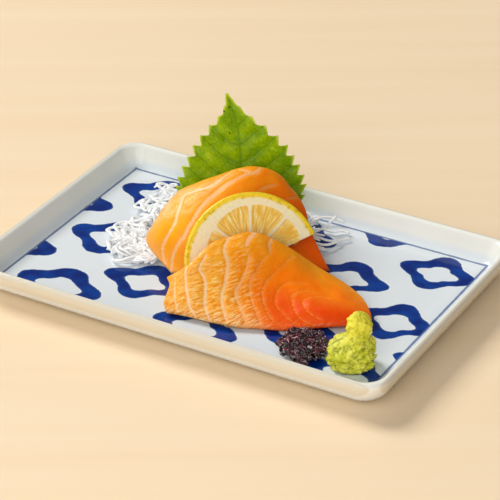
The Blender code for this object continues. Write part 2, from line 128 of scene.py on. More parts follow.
def solidify(thing, name, thickness, offset=-1.0):
    """Gives an open sheet its thickness in millimetres, inwards unless offset says otherwise."""
    solid = thing.modifiers.new(name, "SOLIDIFY")
    solid.thickness = thickness * MM
    solid.offset = offset
    return solid


def thicken(thing, values, full):
    """Solidify with its own thickness at each point, given in millimetres."""
    group = thing.vertex_groups.new(name="thickness")
    for index, value in enumerate(values):
        group.add([index], float(value) / full, "REPLACE")
    solid = solidify(thing, "Thickness", full)
    solid.vertex_group = "thickness"
    solid.thickness_vertex_group = 0.0


# Materials

def srgb(red, green, blue):
    """A screen colour, 0 to 255, as Blender's linear colour."""
    shares = [value / 255 for value in (red, green, blue)]
    linear = [x / 12.92 if x <= 0.04045 else ((x + 0.055) / 1.055) ** 2.4 for x in shares]
    return (*linear, 1.0)


def set_socket(tree, socket, value):
    if isinstance(value, bpy.types.NodeSocket):
        tree.links.new(value, socket)
    else:
        socket.default_value = value


def add(tree, kind, inputs=None, **settings):
    """Adds a shader node and sets or links its inputs."""
    made = tree.nodes.new("ShaderNode" + kind)
    for key, value in settings.items():
        setattr(made, key, value)
    for key, value in (inputs or {}).items():
        set_socket(tree, made.inputs[key], value)
    return made


def calc(tree, operation, *values, clamp=False):
    made = add(tree, "Math", dict(enumerate(values)), operation=operation, use_clamp=clamp)
    return made.outputs[0]


def vector(tree, operation, *values):
    made = add(tree, "VectorMath", dict(enumerate(values)), operation=operation)
    return made.outputs[0]


def axis(tree, place_at, letter):
    return add(tree, "SeparateXYZ", {0: place_at}).outputs[letter]


def times(tree, first, second):
    return calc(tree, "MULTIPLY", first, second)


def plus(tree, first, second):
    return calc(tree, "ADD", first, second)


def minus(tree, first, second):
    return calc(tree, "SUBTRACT", first, second)


def span(tree, value, low, high, to_low=0.0, to_high=1.0):
    """A value carried smoothly from one range to another."""
    made = add(tree, "MapRange", {"Value": value, "From Min": low, "From Max": high, "To Min": to_low,
                                  "To Max": to_high}, interpolation_type="SMOOTHSTEP")
    return made.outputs["Result"]


def mix(tree, share, first, second):
    made = add(tree, "Mix", {"Factor": share}, data_type="RGBA")
    set_socket(tree, made.inputs[6], first)
    set_socket(tree, made.inputs[7], second)
    return made.outputs[2]


def tint(tree, colour, value, low, high, other, most=1.0):
    """Carries a colour over to another one while a value goes from low to high."""
    return mix(tree, span(tree, value, low, high, 0.0, most), colour, srgb(*other))


def speckle(tree, place_at, scale, detail=3.0, roughness=0.55):
    made = add(tree, "TexNoise", {"Vector": place_at, "Scale": scale, "Detail": detail,
                                  "Roughness": roughness})
    return made.outputs["Fac"]


def stretched(tree, place_at, scale, turn=0.0):
    """A place turned about z and then scaled, so that a pattern on it runs long and aslant."""
    if turn:
        place_at = add(tree, "Mapping", {"Vector": place_at, "Rotation": (0, 0, turn)}).outputs[0]
    return add(tree, "Mapping", {"Vector": place_at, "Scale": scale}).outputs[0]


def own_value(tree, name):
    return add(tree, "Attribute", attribute_name=name).outputs["Fac"]


def own_place(tree, name):
    return add(tree, "Attribute", attribute_name=name).outputs["Vector"]


def object_place(tree):
    return add(tree, "TexCoord").outputs["Object"]


def bump(tree, height, strength, distance_mm):
    made = add(tree, "Bump", {"Height": height, "Strength": strength, "Distance": distance_mm * MM})
    return made.outputs["Normal"]


def surface(name, **sockets):
    """A material with one Principled shader whose plain values are set on its own sockets."""
    mat = bpy.data.materials.new(name)
    mat.use_nodes = True
    shader = mat.node_tree.nodes["Principled BSDF"]
    for key, value in sockets.items():
        shader.inputs[key.replace("_", " ")].default_value = value
    return mat, mat.node_tree, shader


def link_to(tree, shader, **sockets):
    for key, value in sockets.items():
        tree.links.new(value, shader.inputs[key.replace("_", " ")])


VECTOR = "NodeSocketVector"
FLOAT = "NodeSocketFloat"


def new_group(name, inputs, outputs):
    """A node group with named float or vector inputs and outputs."""
    group = bpy.data.node_groups.new(name, "ShaderNodeTree")
    for label, kind in inputs.items():
        group.interface.new_socket(label, in_out="INPUT", socket_type=kind)
    for label, kind in outputs.items():
        group.interface.new_socket(label, in_out="OUTPUT", socket_type=kind)
    return group, group.nodes.new("NodeGroupInput"), group.nodes.new("NodeGroupOutput")


def use_group(tree, group, inputs):
    made = tree.nodes.new("ShaderNodeGroup")
    made.node_tree = group
    for key, value in inputs.items():
        set_socket(tree, made.inputs[key], value)
    return made


def moist_group():
    """Moist food: a fine uneven skin with small wet spots. Puts out a height and a roughness."""
    group, given, result = new_group(
        "moist skin", {"Place": VECTOR, "Scale": FLOAT, "Dry": FLOAT, "Wet": FLOAT},
        {"Height": FLOAT, "Roughness": FLOAT})
    spot = given.outputs["Place"]
    scale = given.outputs["Scale"]
    coarse = speckle(group, spot, scale, 2.0)
    fine = speckle(group, spot, times(group, scale, 4.3), 2.0)
    height = plus(group, times(group, coarse, 0.7), times(group, fine, 0.3))
    group.links.new(height, result.inputs["Height"])
    wetness = span(group, coarse, 0.42, 0.60)
    gap = minus(group, given.outputs["Wet"], given.outputs["Dry"])
    roughness = calc(group, "MULTIPLY_ADD", wetness, gap, given.outputs["Dry"])
    group.links.new(roughness, result.inputs["Roughness"])
    return group


HOLE_SHIFT = (-0.3, 0.9, 0.0)


def ring_group():
    """One painted ring: a rounded diamond with four lobes and a hole like it. Puts out how many
    millimetres a place lies inside the paint, below zero outside it."""
    group, given, result = new_group("painted ring", {"Place": VECTOR, "Centre": VECTOR,
                                                      "Half size": VECTOR, "Half hole": VECTOR},
                                     {"Inside": FLOAT})
    away = vector(group, "SUBTRACT", given.outputs["Place"], given.outputs["Centre"])

    def lobed(offset, half_size, dip):
        split = add(group, "SeparateXYZ", {0: vector(group, "DIVIDE", offset, half_size)})
        across = times(group, split.outputs["X"], split.outputs["X"])
        along = times(group, split.outputs["Y"], split.outputs["Y"])
        square = plus(group, plus(group, across, along), 0.0001)
        share = calc(group, "DIVIDE", across, square)
        turn = times(group, share, minus(group, 1.0, share))
        edge = minus(group, 1.0, times(group, turn, 4.0 * dip))
        inside = minus(group, edge, calc(group, "SQRT", square))
        return times(group, inside, axis(group, half_size, "Y"))

    outer = lobed(away, given.outputs["Half size"], 0.28)
    hole = lobed(vector(group, "ADD", away, HOLE_SHIFT), given.outputs["Half hole"], 0.25)
    inside = calc(group, "MINIMUM", outer, times(group, hole, -1.0))
    group.links.new(inside, result.inputs["Inside"])
    return group


MOIST = moist_group()
RING = ring_group()


def finish_moist(tree, shader, colour, spot, scale, dry, wet, strength, distance_mm, height=None):
    """Moist food: its colour, the moist skin's roughness, and a bump from a height or the skin's."""
    skin = use_group(tree, MOIST, {"Place": spot, "Scale": scale, "Dry": dry, "Wet": wet})
    if height is None:
        height = skin.outputs["Height"]
    link_to(tree, shader, Base_Color=colour, Roughness=skin.outputs["Roughness"],
            Normal=bump(tree, height, strength, distance_mm))


# The rings painted on the tray: centre x and y, half width and height, half width and height
# of the hole, in mm.
RINGS = [
    (-63.5, 37.6, 19, 13.6, 9.8, 6.5), (-62.3, -3.4, 19.2, 14, 9.6, 6.7),
    (-59.7, -45.6, 20.2, 14.2, 10.7, 6.7), (-94, 17.2, 19, 13, 9.3, 6.4),
    (-94, -25.2, 19, 13, 9.3, 6.4), (-30.6, -26.3, 18.6, 14, 9.3, 6.7),
    (-30, 17, 18.6, 14, 9.3, 6.7), (-29, 58, 19, 13.8, 9.3, 6.5), (4.6, 37, 19, 13.8, 9.6, 6.5),
    (4.6, -4, 19, 13.8, 9.6, 6.5), (4.9, -45.8, 19.2, 13.8, 9.8, 6.7),
    (38.6, 58.6, 18.4, 13.6, 7.4, 5.5), (39.6, 16.8, 18, 13.6, 8.9, 6.4),
    (38.4, -26.4, 18.6, 14, 9.3, 6.5), (69.8, 37.6, 16.8, 13.8, 9.1, 6.2),
    (71.6, -3.8, 16.4, 14.2, 9.1, 6.7), (72.8, -46, 18, 13.6, 9.5, 6.5), (95.5, 17, 9, 8, 5.6, 3.4),
    (96, -25, 14, 10, 7.4, 5.2),
]
RING_SWAY = (3.0, 2.6, 0.0)
# How far the thin line and the corner of the tray's floor lie from the middle, in mm.
LINE_X = 85.2
LINE_Y = 52.8
TRAY_FLOOR = 4.0
FOOT_TOP = 0.25


def porcelain():
    """Glazed white porcelain with blue rings painted by hand under the glaze."""
    mat, tree, shader = surface("painted porcelain", Specular_IOR_Level=0.35, Coat_Weight=0.1,
                                Coat_Roughness=0.03, IOR=1.45)
    spot = object_place(tree)
    in_mm = add(tree, "VectorMath", {0: spot, "Scale": 1000.0}, operation="SCALE").outputs[0]
    sway = add(tree, "TexNoise", {"Vector": in_mm, "Scale": 0.085, "Detail": 2.0, "Roughness": 0.6})
    shift = vector(tree, "SUBTRACT", sway.outputs["Color"], (0.5, 0.5, 0.5))
    shifted = vector(tree, "MULTIPLY_ADD", shift, RING_SWAY, in_mm)
    flat = vector(tree, "MULTIPLY", shifted, (1.0, 1.0, 0.0))
    inside = None
    for x, y, half_w, half_h, hole_w, hole_h in RINGS:
        ring = use_group(tree, RING, {"Place": flat, "Centre": (x, y, 0.0),
                                      "Half size": (half_w, half_h, 1.0),
                                      "Half hole": (hole_w, hole_h, 1.0)}).outputs["Inside"]
        inside = ring if inside is None else calc(tree, "MAXIMUM", inside, ring)
    height = axis(tree, in_mm, "Z")
    past_x = minus(tree, calc(tree, "ABSOLUTE", axis(tree, in_mm, "X")), LINE_X)
    past_y = minus(tree, calc(tree, "ABSOLUTE", axis(tree, in_mm, "Y")), LINE_Y)
    past_line = calc(tree, "MAXIMUM", past_x, past_y)
    from_line = calc(tree, "ABSOLUTE", past_line)
    above = calc(tree, "GREATER_THAN", height, TRAY_FLOOR)
    on_tray = times(tree, above, calc(tree, "LESS_THAN", past_line, 0.0))
    brush = speckle(tree, stretched(tree, in_mm, (1.0, 1.0, 0.2)), 0.35, 3.0)
    edge = plus(tree, inside, times(tree, minus(tree, brush, 0.5), 0.8))
    ring_paint = times(tree, span(tree, edge, -0.15, 0.2), on_tray)
    line_width = calc(tree, "MULTIPLY_ADD", brush, 0.5, 0.2)
    line = span(tree, from_line, line_width, plus(tree, line_width, 0.25), 0.78, 0.0)
    line_paint = times(tree, line, above)
    body = mix(tree, speckle(tree, in_mm, 0.02, 3.0), srgb(232, 238, 242), srgb(222, 230, 236))
    body = tint(tree, body, height, 6.0, 9.0, (240, 240, 232))
    # The outside of the tray past its rim turns beige: painted shade with a painted warm reflection of
    # the table.
    body = tint(tree, body, past_line, 7.6, 8.6, (223, 215, 196))
    body = tint(tree, body, from_line, 4.5, 0.0, (206, 218, 220), 0.35)
    deep = tint(tree, srgb(0, 36, 116), speckle(tree, in_mm, 0.12, 4.0), 0.35, 0.7, (0, 62, 150))
    blue = mix(tree, span(tree, edge, 0.0, 1.1), srgb(30, 72, 140), deep)
    colour = mix(tree, ring_paint, body, blue)
    colour = mix(tree, line_paint, colour, srgb(52, 84, 146))
    foot = calc(tree, "LESS_THAN", height, FOOT_TOP)
    colour = mix(tree, foot, colour, srgb(214, 204, 188))
    glaze = span(tree, speckle(tree, in_mm, 0.3), 0.3, 0.7, 0.08, 0.14)
    gloss = plus(tree, span(tree, foot, 0.0, 1.0, 0.0, 0.6), glaze)
    link_to(tree, shader, Base_Color=colour, Roughness=gloss,
            Normal=bump(tree, speckle(tree, in_mm, 0.11, 2.0), 0.25, 0.5))
    return mat


def salmon(name):
    """Raw salmon: amber to deep orange flesh with cream fat lines and fine fibres, a painted highlight on
    the fibres and painted shade in their grooves, moist on top.
    """
    mat, tree, shader = surface(name, Subsurface_Weight=0.12, Subsurface_Scale=0.003,
                                Subsurface_Radius=(1.0, 0.3, 0.05), Specular_IOR_Level=0.15,
                                Coat_Roughness=0.12)
    spot = own_place(tree, "spread")
    fat = own_value(tree, "fat")
    coarse = own_value(tree, "coarse")
    ragged = times(tree, minus(tree, speckle(tree, spot, 0.9, 3.0), 0.5), 1.7)
    line = span(tree, plus(tree, fat, ragged), 0.35, -0.25)
    tone = minus(tree, speckle(tree, stretched(tree, spot, (1.0, 0.35, 1.0)), 0.11, 4.0), 0.5)
    warm = calc(tree, "MULTIPLY_ADD", tone, 0.8, own_value(tree, "warm"), clamp=True)
    deep = calc(tree, "MULTIPLY_ADD", tone, 0.5, own_value(tree, "deep"), clamp=True)
    flesh = mix(tree, warm, srgb(255, 176, 24), srgb(255, 124, 0))
    flesh = mix(tree, deep, flesh, srgb(236, 72, 0))
    flesh = mix(tree, own_value(tree, "pale"), flesh, srgb(250, 192, 134))
    fibre_spot = stretched(tree, spot, (0.18, 1.15, 1.0), radians(-32))
    fibres = speckle(tree, fibre_spot, 1.1, 3.0, 0.7)
    fibre_and_glint_share = times(tree, span(tree, fibres, 0.50, 0.64), coarse)
    # Paler colour on the fibres: partly their own lighter tone, partly a painted highlight where light
    # glints on them.
    flesh = mix(tree, times(tree, fibre_and_glint_share, 0.8), flesh, srgb(255, 228, 164))
    # Darker orange in the grooves between the fibres: painted shade.
    groove = times(tree, span(tree, fibres, 0.50, 0.40), coarse)
    flesh = mix(tree, times(tree, groove, 0.75), flesh, srgb(228, 120, 10))
    near = times(tree, span(tree, fat, 2.4, 0.0), span(tree, warm, 0.1, 0.8, 0.34, 0.04))
    flesh = mix(tree, near, flesh, srgb(255, 168, 44))
    fat_colour = mix(tree, warm, srgb(255, 212, 160), srgb(255, 160, 66))
    colour = mix(tree, times(tree, line, span(tree, warm, 0.3, 0.9, 0.85, 0.5)), flesh, fat_colour)
    skin = use_group(tree, MOIST, {"Place": spot, "Scale": 0.55, "Dry": 0.5, "Wet": 0.28})
    glint = minus(tree, 1.0, times(tree, fibre_and_glint_share, 0.45))
    sheen = times(tree, skin.outputs["Roughness"], glint)
    grain = calc(tree, "MULTIPLY_ADD", fibres, times(tree, coarse, 0.9),
                 times(tree, skin.outputs["Height"], 0.5))
    grain = calc(tree, "MULTIPLY_ADD", line, 0.15, grain)
    glaze = calc(tree, "MULTIPLY_ADD", coarse, 0.25, 0.02)
    link_to(tree, shader, Base_Color=colour, Roughness=sheen, Coat_Weight=glaze,
            Normal=bump(tree, grain, 0.7, 0.6))
    return mat


SHADES = ("pale", "coarse", "warm", "deep")
FAT_STOPS = 36
RIM_RADIUS = 1.3
RIM_THICKNESS = 3.4
MIDDLE_EXTRA = 2.9
FULL_THICKNESS = 6.3


def slice_sheet(name, node, guides, columns, rows, fat_lines, material, shading):
    """One slice of salmon on smooth guide curves, with soft rims, fine relief and its own values
    for the material: spread in mm, distance to the fat lines, and the shares named in SHADES."""
    s = np.linspace(0.0, 1.0, columns + 1)
    s = 0.6 * s + 0.4 * (0.5 - 0.5 * np.cos(np.pi * s))
    t = np.linspace(0.0, 1.0, rows + 1)
    t = 0.5 * t + 0.5 * (0.5 - 0.5 * np.cos(np.pi * t))
    guides = np.asarray(guides, float)
    ribs = curve(guides.transpose(1, 0, 2), s).transpose(1, 0, 2)
    points = curve(ribs, t)
    along_s, along_t = np.gradient(points, axis=1), np.gradient(points, axis=0)
    normals = np.cross(along_s, along_t)
    normals /= np.linalg.norm(normals, axis=2, keepdims=True)
    step_s = np.linalg.norm(np.diff(points, axis=1), axis=2)
    step_t = np.linalg.norm(np.diff(points, axis=0), axis=2)
    run_s = np.concatenate([np.zeros((rows + 1, 1)), np.cumsum(step_s, axis=1)], axis=1)
    run_t = np.concatenate([np.zeros((1, columns + 1)), np.cumsum(step_t, axis=0)], axis=0)
    rim = np.minimum(np.minimum(run_s, run_s[:, -1:] - run_s), np.minimum(run_t, run_t[-1:] - run_t))
    fat = np.full(rim.shape, 50.0)
    for half_width, path in fat_lines:
        stops = curve(np.array(path) / 100, np.linspace(0, 1, FAT_STOPS))
        spine = np.array([curve(curve(guides.transpose(1, 0, 2), [a])[0], [b])[0] for a, b in stops])
        taper = 0.75 * half_width * (0.4 + 0.6 * np.sin(np.pi * np.linspace(0.12, 0.88, FAT_STOPS)))
        for start, end, width in zip(spine[:-1], spine[1:], taper):
            along = end - start
            share = np.clip(((points - start) @ along) / (along @ along), 0.0, 1.0)
            away = np.linalg.norm(points - start - share[:, :, None] * along, axis=2)
            fat = np.minimum(fat, away - width)
    values = shading(*np.meshgrid(s, t))
    uneven = np.array([[rough(p, 0.11, 2) for p in row] for row in points])
    from_rim = np.maximum(RIM_RADIUS - rim, 0.0)
    edge_drop = RIM_RADIUS - np.sqrt(np.maximum(RIM_RADIUS ** 2 - from_rim ** 2, 0.0))
    groove = 0.22 * ease(fat, 0.9, 0.0)
    lift = 0.35 * uneven * ease(rim, 0.0, 4.0) - edge_drop - groove
    surface_points = points + normals * lift[:, :, None]
    thickness = RIM_THICKNESS + MIDDLE_EXTRA * ease(rim, 0.0, 8.0)
    room = (surface_points[:, :, 2] - FLOOR - REST_GAP) / np.maximum(normals[:, :, 2], 0.2)
    thickness = np.maximum(np.minimum(thickness, room + edge_drop), 0.8) - 2 * edge_drop
    thickness = np.maximum(thickness, 0.35)
    bm, layers = open_sheet(columns, rows, ("fat",) + SHADES, ("spread",))
    order = []
    for vert in bm.verts:
        i, j = round((vert.co.x + 0.5) * columns), round((vert.co.y + 0.5) * rows)
        vert.co = place(*surface_points[j, i])
        vert[layers["spread"]] = (float(run_s[j, i]), float(run_t[j, i]), 0.0)
        vert[layers["fat"]] = float(fat[j, i])
        for key in SHADES:
            vert[layers[key]] = float(values[key][j, i])
        order.append(thickness[j, i])
    thing = piece(bm, name, material, [node])
    thicken(thing, order, FULL_THICKNESS)
    return thing


def back_shading(s, t):
    """Amber at the left, orange along the ridge and deep orange on the right flank."""
    return {"pale": 0.4 * ease(s, 0.10, 0.0),
            "coarse": 0.35 * ease(t, 0.3, 0.5) * ease(s, 0.5, 0.2),
            "warm": ease(s, 0.1, 0.75) * (0.45 + 0.55 * ease(t, 0.9, 0.5)) + 0.35 * ease(t, 0.35, 0.1),
            "deep": ease(s, 0.70, 1.0) * (0.2 + 0.45 * ease(t, 0.75, 0.4))}


def front_shading(s, t):
    """Amber and coarse at the left, orange at the right and deep orange low at the right."""
    left = ease(s, 0.60, 0.40)
    return {"pale": 0.15 * ease(s, 0.40, 0.10) + 0.5 * ease(t, 0.16, 0.0) * left,
            "coarse": left * (0.5 + 0.5 * ease(t, 0.8, 0.2)) + 0.3 * ease(t, 0.12, 0.0),
            "warm": ease(s, 0.22, 0.66) * (0.4 + 0.6 * ease(t, 1.0, 0.55)),
            "deep": ease(t, 0.54, 0.16) * ease(s, 0.40, 0.60) * (0.7 + 0.3 * ease(s, 0.5, 0.8))}


# Each slice's guide curves from its lower edge up and over, in mm along, back and up.
BACK_GUIDES = [
    [(-29.1, -6, 8.8), (-15.2, -7, 8.4), (0.9, -5.2, 7.6), (18, -4.6, 7.4), (35.6, -3.2, 7.6)],
    [(-39.4, 4.9, 16.2), (-22, -0.9, 19.4), (-0.9, 0.4, 18.4), (16.2, 4.9, 15.5),
     (31.4, 6.2, 12.7)],
    [(-36.9, 11.2, 21.9), (-20.3, 6.3, 28.3), (-0.8, 7.6, 30.6), (15.9, 11, 26.6),
     (28.2, 11.3, 19.2)],
    [(-30.4, 19.9, 27.8), (-15.9, 16, 34), (0.5, 15, 37.2), (15.6, 17.4, 33.4), (26.3, 17, 25)],
    [(-25.1, 24.8, 30.2), (-12.6, 23.5, 35.9), (1.8, 23.9, 40.5), (14.1, 24.7, 37.7),
     (21.9, 23.9, 28.7)],
    [(-22, 30, 25), (-11, 31.5, 31.5), (1.8, 32.5, 35.5), (12.5, 32, 32.5), (19, 30, 24)],
]
# The fat lines: half width in mm, then where the line runs over the slice, in hundredths of its
# length and of its breadth.
BACK_FAT = [
    (1.0, [(2, 6), (15, 29), (14, 49), (12, 61), (27, 64), (33, 69), (40, 80)]),
    (1.15, [(1, 1), (21, 21), (26, 35), (29, 46), (35, 57), (39, 62), (51, 70), (60, 72)]),
    (1.0, [(45, 78), (55, 72), (60, 76), (62, 84)]),
    (0.9, [(60, 55), (66, 60), (73, 64)]),
    (0.8, [(80, 54), (87, 60), (94, 67)]),
    (0.6, [(32, 0), (42, 15), (46, 32), (52, 45)]),
    (0.6, [(62, 0), (68, 15), (72, 30), (80, 42)]),
]
FRONT_GUIDES = [
    [(-30.7, -33.9, 7.2), (-22, -38, 7.4), (-12.9, -42.1, 7.6), (-4.3, -45.2, 7.6),
     (5.5, -46.5, 7.6), (16.1, -48.1, 7.6), (28, -47.4, 7.8), (40, -46.6, 8.2), (50.4, -44.8, 8.2)],
    [(-31.9, -29.6, 9.2), (-22.2, -33, 13), (-14.5, -33.2, 13.5), (-5.8, -33.6, 13.8),
     (4.1, -34.1, 13.2), (15.2, -34.4, 12.6), (28.2, -39.5, 12.2), (41.1, -42.4, 11.2),
     (51.1, -42.1, 8.7)],
    [(-30.5, -26.6, 12), (-22.8, -27.5, 17), (-14.9, -26.7, 18.7), (-5.7, -26.7, 18.9),
     (3.4, -26, 18.4), (14.9, -25.9, 16.2), (28.4, -31, 13.3), (42, -35.9, 11.7), (50.8, -38.1, 9)],
    [(-29.7, -24, 13.8), (-22.8, -24.5, 19.8), (-14.4, -21, 24.1), (-5.1, -18.6, 25.4),
     (3.9, -16.5, 25.4), (15.8, -17, 21.2), (29, -21, 14.8), (42.1, -27.6, 11.7),
     (49.7, -33.2, 9.2)],
    [(-30.8, -21, 15.6), (-21.6, -21, 21.9), (-12.8, -15, 27.5), (-4.5, -11, 28.8), (5.2, -9, 29.4),
     (17.6, -9.5, 23.5), (29.6, -11.5, 15.2), (41.8, -19.8, 11), (48, -28.5, 9.5)],
]
FRONT_FAT = [
    (0.45, [(5, 80), (5, 63), (6, 32), (7, 6)]),
    (0.8, [(12, 95), (13, 61), (13, 34), (14, 14), (17, 3)]),
    (0.8, [(25, 80), (22, 63), (25, 47), (25, 30), (24, 21), (24, 10), (25, 0)]),
    (1.0, [(37, 100), (35, 85), (35, 75), (37, 65), (37, 56), (36, 39), (34, 20), (35, 4)]),
    (1.25, [(50.5, 100), (49, 93), (48, 87), (47, 79)]),
    (0.9, [(49, 68), (48, 57), (45, 44), (42, 30), (43, 19), (45, 4)]),
    (1.0, [(57, 99), (57, 92), (57, 86), (58, 77)]),
    (0.36, [(57.5, 74), (55, 65), (53, 57), (50, 46), (49, 30), (50, 19), (52, 3)]),
    (0.28, [(66, 86), (64, 71), (60, 56), (57, 46), (55, 33), (55, 21), (56, 13), (58, 6)]),
    (0.22, [(72, 60), (66, 52), (63, 43), (61, 32), (60, 21), (62, 15), (64, 10), (68, 4)]),
    (0.2, [(75, 52), (71, 48), (67, 34), (67, 24), (68, 15), (70, 9), (74, 4)]),
    (0.18, [(80, 48), (76, 46), (71, 32), (72, 20), (74, 15), (78, 9)]),
]


# Lemon

LEMON_RADIUS = 28.8
LEMON_THICKNESS = 4.6
LEMON_CENTRE = Vector((4.5, -9.3, 14.9))
LEMON_LEAN = radians(59.5)
LEMON_YAW = radians(14)
LEMON_CUT_TILT = 24.0
LEMON_CORE = (-1.0, 2.6)
PULP_CENTRE = (0.7, 3.4)
PULP_RADIUS = 20.4
MEMBRANES = (14.0, 47.0, 91.0, 142.0, 186.0, 222.0)
LEMON_GRID = (200, 84)
LEMON_RIM_RADIUS = 0.9
BORDER_SOFTNESS = 0.7


def lemon_axes():
    """Right, up and outward directions of the lemon's face, in the food's layout."""
    facing = Vector((0, -sin(LEMON_LEAN), cos(LEMON_LEAN)))
    out = facing * cos(LEMON_YAW) + Vector((1, 0, 0)) * sin(LEMON_YAW)
    up = Vector((0, cos(LEMON_LEAN), sin(LEMON_LEAN)))
    return up.cross(out), up, out


def lemon_flesh_depth(side, height):
    """How many millimetres a place on the face lies inside the pulp of its segment, and its
    angle in degrees and distance from the core."""
    from_core = Vector((side - LEMON_CORE[0], height - LEMON_CORE[1]))
    angle = degrees(atan2(from_core.y, from_core.x)) % 360
    from_middle = hypot(side - PULP_CENTRE[0], height - PULP_CENTRE[1])
    depths = [PULP_RADIUS - from_middle, from_core.length - 2.0]
    for border in MEMBRANES:
        turn = (angle - border + 180) % 360 - 180
        if abs(turn) < 80:
            depths.append(abs(from_core.length * sin(radians(turn))) - 0.4)
    total = sum(exp(-max(min(depth, 40.0), -20.0) / BORDER_SOFTNESS) for depth in depths)
    return -BORDER_SOFTNESS * log(total), angle, from_core.length


def lemon_slice():
    mat, tree, shader = surface("lemon slice", Subsurface_Weight=0.3, Subsurface_Scale=0.004,
                                Subsurface_Radius=(1.0, 0.8, 0.3), Coat_Weight=0.15,
                                Coat_Roughness=0.15)
    pulp = own_value(tree, "pulp")
    reach = own_value(tree, "reach")
    rays = own_place(tree, "rays")
    pith = mix(tree, speckle(tree, object_place(tree), 900.0), srgb(255, 244, 212), srgb(255, 232, 184))
    streaks = speckle(tree, stretched(tree, rays, (1.0, 0.14, 1.0)), 0.95, 2.0, 0.6)
    flesh = tint(tree, srgb(248, 190, 60), streaks, 0.36, 0.60, (254, 220, 118))
    flesh = tint(tree, flesh, streaks, 0.60, 0.68, (255, 246, 204))
    flesh = tint(tree, flesh, speckle(tree, rays, 0.3), 0.40, 0.75, (250, 200, 80), 0.7)
    colour = mix(tree, span(tree, pulp, -0.1, 0.45), pith, flesh)
    flecks = speckle(tree, object_place(tree), 420.0, 3.0)
    peel = tint(tree, srgb(255, 214, 36), flecks, 0.5, 0.68, (214, 186, 10))
    rim = span(tree, plus(tree, reach, times(tree, flecks, 0.07)), 0.935, 0.975)
    colour = mix(tree, rim, colour, peel)
    height = plus(tree, times(tree, streaks, 0.8), times(tree, flecks, 0.25))
    finish_moist(tree, shader, colour, rays, 0.8, 0.45, 0.25, 0.5, 0.4, height)
    right, up, out = lemon_axes()
    bm, layers = open_sheet(*LEMON_GRID, ("pulp", "reach"), ("rays",))
    for vert in bm.verts:
        sweep, share = vert.co.x + 0.5, vert.co.y + 0.5
        share = 1 - (1 - share) ** 1.25
        angle = radians(LEMON_CUT_TILT + 180.0 * sweep)
        radius = LEMON_RADIUS * share
        flesh_depth, ray, reach = lemon_flesh_depth(radius * cos(angle), radius * sin(angle))
        direction = right * cos(angle) + up * sin(angle)
        vesicle = noise.noise(Vector((ray * 0.30, reach * 0.22, 3.0)))
        near_rim = max(LEMON_RIM_RADIUS - (LEMON_RADIUS - radius), 0.0)
        rounding = LEMON_RIM_RADIUS - sqrt(max(LEMON_RIM_RADIUS ** 2 - near_rim ** 2, 0.0))
        inside = float(ease(flesh_depth, 0.0, 1.2))
        lift = inside * (0.34 * vesicle - 0.16) - rounding
        wobble = 0.25 * noise.noise(Vector((cos(angle) * 2, sin(angle) * 2, 0)))
        radius = radius - 0.25 * share + wobble * share - 0.02
        point = LEMON_CENTRE + direction * radius + out * (lift - 0.05)
        vert.co = place(*point)
        vert[layers["pulp"]] = flesh_depth
        vert[layers["reach"]] = share
        vert[layers["rays"]] = (ray * 0.36, reach, 0.0)
    bmesh.ops.remove_doubles(bm, verts=bm.verts[:], dist=0.00002)
    bmesh.ops.recalc_face_normals(bm, faces=bm.faces[:])
    outward = place(*out) - place(0, 0, 0)
    if sum((face.normal for face in bm.faces), Vector()).dot(outward) < 0:
        bmesh.ops.reverse_faces(bm, faces=bm.faces[:])
    thing = piece(bm, "lemon_slice", mat, ["lemon_half_slice"])
    solidify(thing, "Thickness", LEMON_THICKNESS)


# Shiso leaf

LEAF_LENGTH = 56.6
LEAF_HALF_WIDTH = 26.2
LEAF_FOOT = Vector((-0.4, 34.2, 7.6))
LEAF_LEAN = radians(76.5)
LEAF_PROFILE = [0.10, 0.82, 0.98, 1.00, 0.93, 0.82, 0.69, 0.50, 0.28, 0.11, 0.02]
LEAF_TEETH = 13
LEAF_GRID = (72, 26 * LEAF_TEETH)
# Where each side vein leaves the midrib, how far it reaches sideways and how far it climbs.
SIDE_VEINS = [(1.0, 27.0, 9.0), (5.0, 27.0, 15.0), (11.0, 25.0, 17.0), (18.0, 21.0, 16.0),
              (26.0, 16.0, 13.0), (34.0, 11.0, 9.0), (42.0, 6.0, 5.5)]


def leaf_veins():
    """The half width and course of the midrib and of each side vein, in (side, up) millimetres."""
    veins = [(0.7, np.array([(0.0, 0.0), (0.0, 28.0), (0.0, 54.0)]))]
    for side in (-1, 1):
        for start, reach, climb in SIDE_VEINS:
            middle = (side * reach * 0.5, start + climb * 0.38 + 1.0 * side)
            veins.append((0.42, np.array([(0.0, start), middle, (side * reach, start + climb)])))
    return veins


